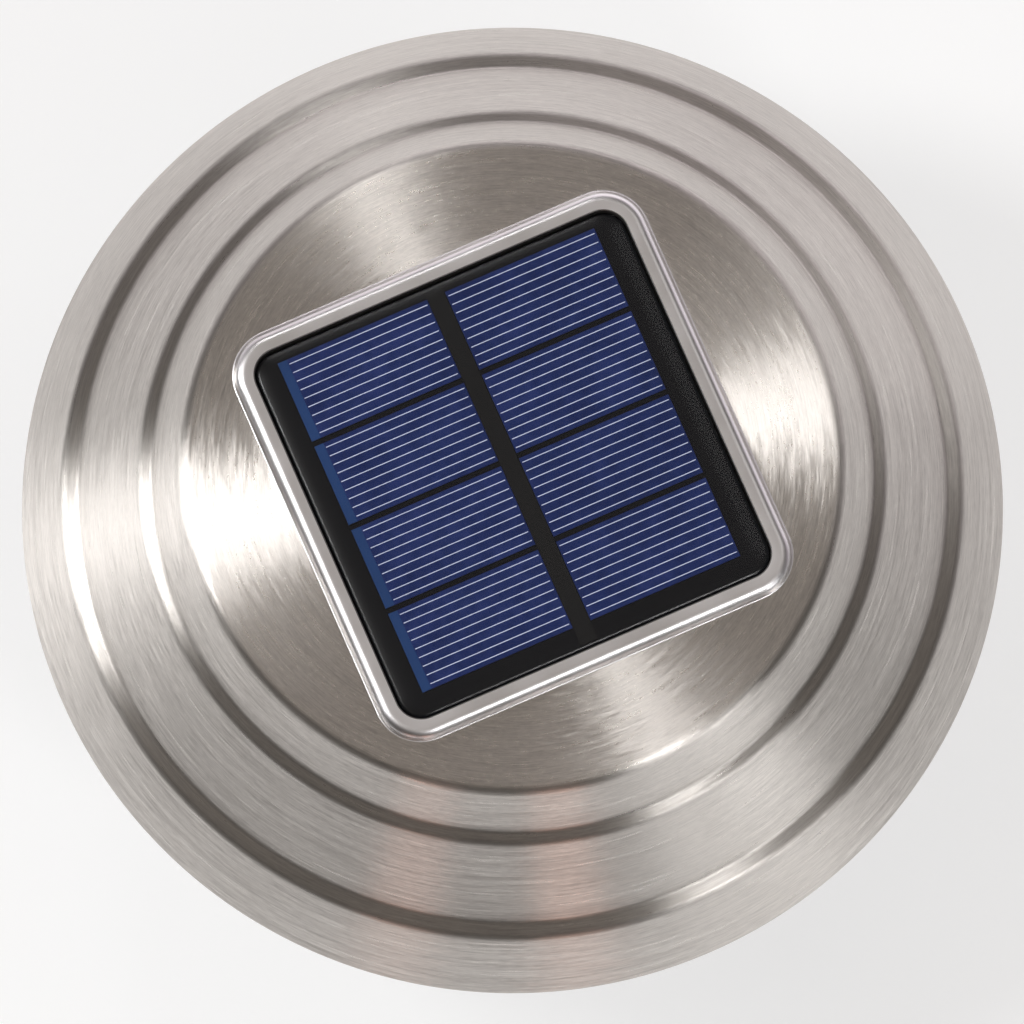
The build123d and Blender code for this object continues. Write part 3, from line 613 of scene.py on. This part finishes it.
# Where the screws' heads seat
PLATE_SCREWS = [(43.8 * x, 43.8 * y, -1.1) for x, y in QUARTER_TURNS]
SOCKET_SCREWS = [(x, 63.1, -2.1) for x in (-21.5, 21.5)]
LED_SCREWS = [(x, 0.0, -2.7) for x in (-4.6, 4.6)]

# Shares of a screw's own sizes
THREAD_PITCH = 0.75
THREAD_ROOT = 0.8
HEAD_SIDE = 0.35
CROSS_REACH = 0.62
CROSS_HALF_WIDTH = 0.13
CROSS_FLOOR = 0.42


def screw_profile(head, shank, length):
    """Radius and distance along, from the shank's tip to the middle of the domed head."""
    radius, height = head
    root = shank * THREAD_ROOT
    pitch = shank * THREAD_PITCH
    profile = [(0, length), (root * 0.5, length), (root, length - root)]
    for i in range(int((length - root) / pitch)):
        z = length - root - i * pitch
        profile += [(root, z - pitch * 0.25), (shank, z - pitch * 0.5), (root, z - pitch * 0.75)]
    profile += [(root, 0.0), (radius * 0.97, 0.0), (radius, -0.06 * height)]
    for degree in range(0, 90, 12):
        rise = HEAD_SIDE + (1 - HEAD_SIDE) * sin(radians(degree))
        profile.append((radius * cos(radians(degree)), -height * rise))
    return [*profile, (0, -height)]


def cross_outline(radius):
    """Outline of the cross recess in a screw's head."""
    arm, half = radius * CROSS_REACH, radius * CROSS_HALF_WIDTH
    quarter = [(arm, -half), (arm, half), (half, half)]
    return [(a * c - b * s, a * s + b * c) for c, s in QUARTER_TURNS for a, b in quarter]


def screws_piece(name, places, head, shank, length):
    """Pan-head screws with a cross recess and a threaded shank; places are (x, y, z of the seat)."""
    radius, height = head
    profile = screw_profile(head, shank, length)
    cross = cross_outline(radius)
    solids, cutters = [], []
    for x, y, z in places:
        def place(a, b, c, x=x, y=y, z=z):
            return (x + a, y + b, z + c)

        solids.append(turned_mesh(profile, place, SCREW_AROUND))
        cutters.append(prism_mesh(cross, -height * 1.3, -height * CROSS_FLOOR, place))
    thing = make_object(name, *merged(solids))
    return cut(thing, make_object("recess", *merged(cutters), smooth=False))


# ------------------------------------------------------------------ switch words

SWITCH_WORDS = [("OFF", -10.8), ("ON", 10.2)]  # with their middles' x
WORD_Y = 28.0
WORD_SIZE = 3.6
WORD_HALF_HEIGHT = 0.1
PLATE_UNDERSIDE = -1.1
WORD_GAP = 0.02


def word_mesh(word):
    """Vertices and faces of a word, flat about its own middle."""
    curve = bpy.data.curves.new(word, "FONT")
    curve.body = word
    curve.size = WORD_SIZE
    curve.extrude = WORD_HALF_HEIGHT
    curve.align_x = "CENTER"
    curve.align_y = "CENTER"
    text = bpy.data.objects.new(word, curve)
    bpy.context.scene.collection.objects.link(text)
    mesh = applied_mesh(text)
    shape = bmesh.new()
    shape.from_mesh(mesh)
    bmesh.ops.remove_doubles(shape, verts=shape.verts, dist=0.001)
    shape.to_mesh(mesh)
    shape.free()
    points = [tuple(v.co) for v in mesh.vertices]
    faces = [tuple(face.vertices) for face in mesh.polygons]
    bpy.data.objects.remove(text)
    bpy.data.curves.remove(curve)
    bpy.data.meshes.remove(mesh)
    return points, faces


def words_piece():
    """OFF and ON, raised on the base plate beside the switch and read from below."""
    parts = []
    for word, middle in SWITCH_WORDS:
        points, faces = word_mesh(word)
        turned = [(middle + x, WORD_Y - y, PLATE_UNDERSIDE - WORD_GAP - z) for x, y, z in points]
        parts.append((turned, faces))
    return make_object("switch_words", *merged(parts), smooth=False)


# ------------------------------------------------------------------ battery and emitters

# The battery's profile, (radius, distance along), from its flat end to its nub
BATTERY_END = [(0, -24.1), (5.2, -24.1), (5.5, -24.0), (5.7, -23.85), (6.1, -23.85)]
BATTERY_SLEEVE = [
    (6.1, -24.05), (6.5, -24.1), (6.85, -23.95), (7.05, -23.65), (7.1, -23.3),
    (7.1, 24.3), (7.05, 24.65), (6.85, 24.95), (6.5, 25.1), (6.1, 25.05),
]
BATTERY_RING = [(6.1, 24.8), (3.1, 24.8), (3.1, 24.95), (2.75, 24.95)]
BATTERY_NUB = [(2.75, 26.0), (2.65, 26.2), (2.45, 26.3), (0, 26.3)]
BATTERY_Y = -27.0
BATTERY_Z = 6.3
BATTERY_AROUND = 96

EMITTER_CIRCLE = 8.6
EMITTER_TURNS = [90 + 60 * i for i in range(6)]  # degrees
EMITTER_SEAT = -2.7
EMITTER_LOW = (-1.75, -1.4, 0.0)
EMITTER_HIGH = (1.75, 1.4, 0.86)
EMITTER_BEVEL = 0.12
PHOSPHOR = [(0, 0.5), (1.1, 0.5), (1.1, 0.93), (0.85, 0.99), (0.4, 1.0), (0, 1.0)]
PHOSPHOR_AROUND = 40


def battery_piece():
    """A shrink-sleeved cell with bare metal ends; material 1 is the metal and 2 the insulating ring."""
    def place(a, b, c):
        return (c, BATTERY_Y + a, BATTERY_Z + b)

    profile = [*BATTERY_END, *BATTERY_SLEEVE, *BATTERY_RING, *BATTERY_NUB]
    thing = make_object("battery_dressed", *turned_mesh(profile, place, BATTERY_AROUND))
    marks = [1] * len(BATTERY_END) + [0] * (len(BATTERY_SLEEVE) - 1)
    marks += [2] * len(BATTERY_RING) + [1] * len(BATTERY_NUB)
    for polygon in thing.data.polygons:
        polygon.material_index = marks[polygon.index // BATTERY_AROUND]
    return thing


def emitters_piece():
    """White emitter bodies, each with a round window of yellow phosphor (material 1)."""
    bodies, windows = [], []
    for turn in EMITTER_TURNS:
        c, s = cos(radians(turn)), sin(radians(turn))

        def place(a, b, z, c=c, s=s):
            x, y = EMITTER_CIRCLE * c, EMITTER_CIRCLE * s
            return (x + a * c - b * s, y + a * s + b * c, EMITTER_SEAT - z)

        bodies.append(block_mesh(EMITTER_LOW, EMITTER_HIGH, place, EMITTER_BEVEL))
        windows.append(turned_mesh(PHOSPHOR, place, PHOSPHOR_AROUND))
    body_count = sum(len(faces) for _, faces in bodies)
    thing = make_object("emitter_bodies", *merged(bodies + windows))
    for polygon in thing.data.polygons:
        is_window = polygon.index >= body_count
        polygon.material_index = int(is_window)
        polygon.use_smooth = is_window
    return thing


# ------------------------------------------------------------------ steel cap

CAP_AROUND = 720

# Corners of the sheet's outside and inside, (radius, height), and the bends between their ends
CAP_OUTSIDE = [
    (72.6, 0.0), (75.63, 0.0), (68.4, 12.9), (65.9, 13.4),
    (56.2, 27.3), (54.3, 27.8), (49.6, 36.4), (46.0, 36.4),
]
CAP_OUTSIDE_BENDS = [0.9, 1.8, 1.2, 1.8, 1.2, 2.4]
CAP_INSIDE = [
    (46.0, 35.7), (49.0, 35.7), (53.7, 27.25), (55.7, 26.7),
    (65.4, 12.85), (67.9, 12.3), (74.6, 0.7), (72.6, 0.7),
]
CAP_INSIDE_BENDS = [1.7, 1.9, 1.1, 1.9, 1.1, 0.2]

# The same for the lip round the window, (half of its square's width, height)
LIP_OUTSIDE = [(34.6, 36.4), (33.5, 36.4), (32.75, 37.7), (30.3, 37.62), (30.3, 34.6)]
LIP_OUTSIDE_BENDS = [0.3, 1.8, 0.2]
LIP_INSIDE = [(30.3, 34.6), (31.0, 34.6), (31.0, 37.0), (32.3, 37.0), (32.8, 35.7), (34.6, 35.7)]
LIP_INSIDE_BENDS = [0.0, 0.2, 0.3, 0.3]
LIP_STEPS = 8

# The square's corner radius grows from the window to the lip's foot
WINDOW_HALF = 30.3
WINDOW_CORNER = 3.9
LIP_WIDTH = 3.2
FOOT_CORNER = 7.0


def cap_piece():
    """The pressed cap: stepped dome, raised square lip (material 1), and dark cut-edge metal (material 2)
    on the lip's inner bend and down-turned wall as painted shade of the gap round the window.
    """
    angles = [2 * pi * i / CAP_AROUND for i in range(CAP_AROUND)]

    def circle(r, z):
        return [(r * cos(a), r * sin(a), z) for a in angles]

    def square(half, z):
        corner = WINDOW_CORNER + (half - WINDOW_HALF) * (FOOT_CORNER - WINDOW_CORNER) / LIP_WIDTH
        reach = [square_reach(a, half, corner) for a in angles]
        return [(d * cos(a), d * sin(a), z) for d, a in zip(reach, angles)]

    loops = [circle(r, z) for r, z in rounded_path(CAP_OUTSIDE, CAP_OUTSIDE_BENDS)]
    lip_start = len(loops) + 1
    loops += [square(h, z) for h, z in rounded_path(LIP_OUTSIDE, LIP_OUTSIDE_BENDS, LIP_STEPS)]
    lip_end = len(loops) - 1
    loops += [square(h, z) for h, z in rounded_path(LIP_INSIDE, LIP_INSIDE_BENDS, 3)[1:]]
    loops += [circle(r, z) for r, z in rounded_path(CAP_INSIDE, CAP_INSIDE_BENDS, 4)]
    piece = ring_mesh("steel_cap", loops)
    # Material 2 darkens the lip's inner bend and down-turned wall: painted shade of the gap at the window's
    # edge
    gap_shade_start = lip_end - 1 - LIP_STEPS
    for i in range(lip_start * CAP_AROUND, lip_end * CAP_AROUND):
        piece.data.polygons[i].material_index = 1 if i < gap_shade_start * CAP_AROUND else 2
    return piece


# ------------------------------------------------------------------ solar panel

CELL_TOP = 36.2
CELL_SIZE = Vector((24.45, 12.97))
CELL_GAP = Vector((2.95, 0.9))
CELLS_MIDDLE = Vector((-0.2, 1.0))
CELL_COLUMNS = 2
CELL_ROWS = 4

FINGERS = 9
FINGER_PITCH = 1.43
FINGER_WIDTH = 0.135
FINGER_LEVELS = (CELL_TOP - 0.01, CELL_TOP + 0.01)
FINGER_INSET = 0.25
EDGE_WIDTH = 1.45
EDGE_LEVELS = (CELL_TOP - 0.01, CELL_TOP + 0.008)
EDGE_CLEARANCE = 1.6  # from a left-hand cell's side to its fingers' ends

COVER_AROUND = 240
COVER_SIDE = [(29.7, CELL_TOP + 0.05), (29.7, 35.97), (30.0, 35.97), (30.0, 36.84), (29.95, 36.95)]
COVER_TOP = 37.4
COVER_FLAT_HALF = 26.4
DOME_WIDTH = 3.5
DOME_DROP = 0.4
DOME_STEPS = 8
COVER_LEAST_CORNER = 1.2
COVER_CORNER_MIDDLE = 26.6


def cell_centres():
    """Each cell's middle, and its column."""
    pitch = CELL_SIZE + CELL_GAP
    centres = []
    for column in range(CELL_COLUMNS):
        for row in range(CELL_ROWS):
            x = CELLS_MIDDLE.x + (column - (CELL_COLUMNS - 1) / 2) * pitch.x
            y = CELLS_MIDDLE.y + (row - (CELL_ROWS - 1) / 2) * pitch.y
            centres.append((x, y, column))
    return centres


def strip_mesh(left, right, low, high, levels):
    """Vertices and faces of a thin rectangular strip."""
    return prism_mesh([(left, low), (right, low), (right, high), (left, high)], *levels)


def fingers_piece():
    """Printed silver lines: nine fingers on each cell."""
    strips = []
    for x, y, column in cell_centres():
        left = x - CELL_SIZE.x / 2 + (FINGER_INSET if column else EDGE_CLEARANCE)
        right = x + CELL_SIZE.x / 2 - FINGER_INSET
        for i in range(FINGERS):
            middle = y + (i - (FINGERS - 1) / 2) * FINGER_PITCH
            low, high = middle - FINGER_WIDTH / 2, middle + FINGER_WIDTH / 2
            strips.append(strip_mesh(left, right, low, high, FINGER_LEVELS))
    return make_object("cell_fingers", *merged(strips), smooth=False)


def edges_piece():
    """The plain strip along the left edge of each left-hand cell."""
    strips = []
    for x, y, column in cell_centres():
        if column == 0:
            left, low, high = x - CELL_SIZE.x / 2, y - CELL_SIZE.y / 2, y + CELL_SIZE.y / 2
            strips.append(strip_mesh(left, left + EDGE_WIDTH, low, high, EDGE_LEVELS))
    return make_object("cell_edges", *merged(strips), smooth=False)


def cover_piece():
    """The clear cast cover: domed at its edges, its underside just clear of the cells."""
    profile = list(COVER_SIDE)
    for i in range(DOME_STEPS + 1):
        fall = 1 - i / DOME_STEPS
        profile.append((COVER_FLAT_HALF + DOME_WIDTH * fall, COVER_TOP - DOME_DROP * fall * fall))
    vertices = []
    for half, z in profile:
        corner = max(COVER_LEAST_CORNER, half - COVER_CORNER_MIDDLE)
        for i in range(COVER_AROUND):
            a = 2 * pi * i / COVER_AROUND
            reach = square_reach(a, half, corner)
            vertices.append((reach * cos(a), reach * sin(a), z))
    starts = [k * COVER_AROUND for k in range(len(profile))]
    faces = [f for low, high in zip(starts, starts[1:]) for f in quad_band(low, high, COVER_AROUND)]
    faces += [tuple(range(start, start + COVER_AROUND)) for start in (starts[0], starts[-1])]
    piece = make_object("cast_cover", vertices, faces)
    for face in list(piece.data.polygons)[-2:]:
        face.use_smooth = False
    return piece


# ------------------------------------------------------------------ camera and stage

# Camera, as the photograph shows the light
CAMERA_AZIMUTH = -23.6
CAMERA_ELEVATION = 79.8
CAMERA_DISTANCE = 1.76
SENSOR_WIDTH = 36.0
PICTURE = 1024
VIEW_WIDTH = 0.15662  # metres across the picture at the rim's height
VIEW_SHIFT = Vector((0.5, 4.1))  # the rim's middle from the picture's middle, in pixels

# The sky's glow behind the light and to its right, and levels by height: a white backdrop at the
# horizon, the glow's share and the plain sky
BACK_GLOW = 0.9
RIGHT_GLOW = 0.25
BACKDROP_HEIGHTS = [(0.0, 1.0), (0.02, 1.0), (0.05, 0.0)]
GLOW_HEIGHTS = [(0.0, 1.0), (0.35, 1.0), (0.55, 0.0)]
SKY_HEIGHTS = [(0.0, 0.035), (0.7, 0.05), (0.9, 0.34)]
GLOW_COLOUR = (1.0, 0.87, 0.95)
SKY_COLOUR = (1.0, 0.91, 0.83)

FLOOR_HALF = 3000.0
FLOOR_GAP = 0.5
FLOOR_TONE = 0.45
FLOOR_GLOW = 0.6

# Soft lamps: turn in the picture, elevation, size across, power and colour
LAMP_DISTANCE = 1.4
LAMPS = {
    "left": (173, 36, 0.35, 3.8, WHITE),
    "left_high": (175, 56, 0.35, 5.6, WHITE),
    "back": (90, 8, 1.2, 1.9, WHITE),
    "back_right": (45, 8, 1.2, 1.3, WHITE),
    "back_left": (135, 8, 1.2, 0.7, WHITE),
    "upper_left": (109, 52, 0.24, 1.0, WHITE),
    "right": (42, 64, 0.5, 0.4, WHITE),
    "lower_right": (305, 52, 0.24, 2.9, WHITE),
    "front_right": (317, 28, 0.4, 1.8, WHITE),
    "front_left_pink": (253, 8, 0.3, 0.3, PINK),
    "front_right_pink": (279, 8, 0.3, 0.4, PINK),
}


def view_frame():
    """Right, level forward and looking directions of the photograph's camera."""
    a, e = radians(CAMERA_AZIMUTH), radians(CAMERA_ELEVATION)
    forward = Vector((-sin(a), cos(a), 0.0))
    right = Vector((cos(a), sin(a), 0.0))
    look = forward * cos(e) - Vector((0, 0, 1)) * sin(e)
    return right, forward, look


def place_facing(name, data, location, direction):
    """An object that looks along a direction, as cameras and lamps do."""
    thing = bpy.data.objects.new(name, data)
    thing.location = location
    thing.rotation_mode = "QUATERNION"
    thing.rotation_quaternion = direction.to_track_quat("-Z", "Y")
    bpy.context.scene.collection.objects.link(thing)
    return thing


def add_camera():
    right, forward, look = view_frame()
    pixel = VIEW_WIDTH / PICTURE
    up_share = sin(radians(CAMERA_ELEVATION))  # how much of a level forward step shows in the picture
    target = AXIS * MM - right * VIEW_SHIFT.x * pixel - forward * VIEW_SHIFT.y * pixel / up_share
    data = bpy.data.cameras.new("camera")
    data.sensor_width = SENSOR_WIDTH
    data.lens = SENSOR_WIDTH * CAMERA_DISTANCE / VIEW_WIDTH
    data.clip_end = 20.0
    bpy.context.scene.camera = place_facing("camera", data, target - look * CAMERA_DISTANCE, look)


def add_lamp(name, turn, elevation, size, power, colour):
    """A round soft lamp; turn is counted in the picture, from its right-hand side upwards."""
    right, forward, _ = view_frame()
    t, e = radians(turn), radians(elevation)
    outward = (right * cos(t) + forward * sin(t)) * cos(e) + Vector((0, 0, 1)) * sin(e)
    data = bpy.data.lights.new(name, "AREA")
    data.shape = "DISK"
    data.size = size
    data.energy = power
    data.color = colour
    place_facing(name, data, AXIS * MM + outward * LAMP_DISTANCE, -outward)


def add_world():
    """A soft sky: bright behind the light and to its right, dim in front, white at the horizon."""
    world = bpy.data.worlds.new("studio")
    world.use_nodes = True
    bpy.context.scene.world = world
    t = Nodes(world.node_tree)

    def background(colour, strength):
        node = t.add("ShaderNodeBackground")
        t.put(node, "Color", (*colour, 1.0))
        t.put(node, "Strength", strength)
        return node.outputs[0]

    right, forward, _ = view_frame()
    direction = t.add("ShaderNodeTexCoord").outputs["Generated"]
    up = t.split(direction)[2]
    towards = t.vector("DOT_PRODUCT", direction, tuple(forward * BACK_GLOW + right * RIGHT_GLOW))
    glow = t.math("MULTIPLY", t.math("MAXIMUM", towards, 0.0), t.level_ramp(up, GLOW_HEIGHTS))
    sky = t.add("ShaderNodeAddShader")
    t.join(background(GLOW_COLOUR, glow), sky.inputs[0])
    t.join(background(SKY_COLOUR, t.level_ramp(up, SKY_HEIGHTS)), sky.inputs[1])
    both = t.add("ShaderNodeMixShader")
    t.join(t.level_ramp(up, BACKDROP_HEIGHTS), both.inputs[0])
    t.join(sky.outputs[0], both.inputs[1])
    t.join(background(WHITE, 1.0), both.inputs[2])
    output = t.add("ShaderNodeOutputWorld")
    t.join(both.outputs[0], output.inputs["Surface"])


def floor_material():
    """Matte grey that takes the shadow, with a glow that makes it pale where it is seen or mirrored."""
    t = Material("floor_white")
    matte = t.add("ShaderNodeBsdfDiffuse")
    t.put(matte, "Color", grey(FLOOR_TONE))
    path = t.add("ShaderNodeLightPath")
    seen = t.math("MAXIMUM", path.outputs["Is Camera Ray"], path.outputs["Is Glossy Ray"])
    seen = t.math("MAXIMUM", seen, path.outputs["Is Transmission Ray"])
    glow = t.add("ShaderNodeEmission")
    t.put(glow, "Color", grey(1.0))
    t.put(glow, "Strength", t.math("MULTIPLY", seen, FLOOR_GLOW))
    both = t.add("ShaderNodeAddShader")
    t.join(matte.outputs[0], both.inputs[0])
    t.join(glow.outputs[0], both.inputs[1])
    return t.surface(both)


def add_floor():
    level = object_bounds()[0][2] / MM - AXIS.z - FLOOR_GAP
    corners = [(FLOOR_HALF * c, FLOOR_HALF * s, level) for c, s in ((-1, -1), (1, -1), (1, 1), (-1, 1))]
    floor = make_object("floor", corners, [(0, 1, 2, 3)], smooth=False)
    floor.data.materials.append(floor_material())


# ------------------------------------------------------------------ scene

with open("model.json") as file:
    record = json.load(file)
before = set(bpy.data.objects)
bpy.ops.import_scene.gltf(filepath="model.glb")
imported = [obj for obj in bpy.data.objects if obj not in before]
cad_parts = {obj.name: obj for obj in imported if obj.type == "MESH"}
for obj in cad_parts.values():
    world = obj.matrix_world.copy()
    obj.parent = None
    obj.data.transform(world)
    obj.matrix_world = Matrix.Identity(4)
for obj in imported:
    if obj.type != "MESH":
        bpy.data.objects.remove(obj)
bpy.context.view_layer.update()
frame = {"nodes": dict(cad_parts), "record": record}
add_camera()
bpy.context.scene.view_settings.view_transform = "Standard"

finishes = make_finishes()
slot_of = {part["node"]: part["material_slot"] for part in frame["record"]["subparts"]}
for node, thing in frame["nodes"].items():
    for place in thing.material_slots:
        place.link = "OBJECT"
        place.material = finishes[slot_of[node]]


def dress(piece, looks, slot, *nodes):
    """Gives a piece its finishes and its place on the light's body, and hides the nodes it replaces."""
    for look in looks:
        piece.data.materials.append(finishes[look])
    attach(piece, "light")
    if nodes:
        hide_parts(*nodes)


dress(cap_piece(), ["steel", "steel_lip", "cut_edge"], "steel", "cap_shell")
dress(fingers_piece(), ["finger_silver"], "cell_blue")
dress(edges_piece(), ["edge_blue"], "cell_blue")
dress(cover_piece(), ["clear_resin"], "clear_resin", "panel_resin")
dress(
    screws_piece("plate_screw_heads", PLATE_SCREWS, head=(2.6, 1.8), shank=1.25, length=9.0),
    ["screw_steel"], "screw_steel", "plate_screws",
)
dress(
    screws_piece("socket_screw_heads", SOCKET_SCREWS, head=(2.6, 1.8), shank=1.25, length=8.0),
    ["screw_steel"], "screw_steel", "socket_screws",
)
dress(
    screws_piece("led_screw_heads", LED_SCREWS, head=(1.7, 1.1), shank=0.9, length=3.0),
    ["screw_steel"], "screw_steel", "led_screws",
)
dress(words_piece(), ["white_plastic"], "white_plastic")
dress(emitters_piece(), ["board_white", "led_yellow"], "led_yellow", "leds")
dress(battery_piece(), ["cell_sleeve", "contact_nickel", "insulator_white"], "cell_sleeve", "battery_cell")

add_world()
add_floor()
for name, settings in LAMPS.items():
    add_lamp(name + "_lamp", *settings)
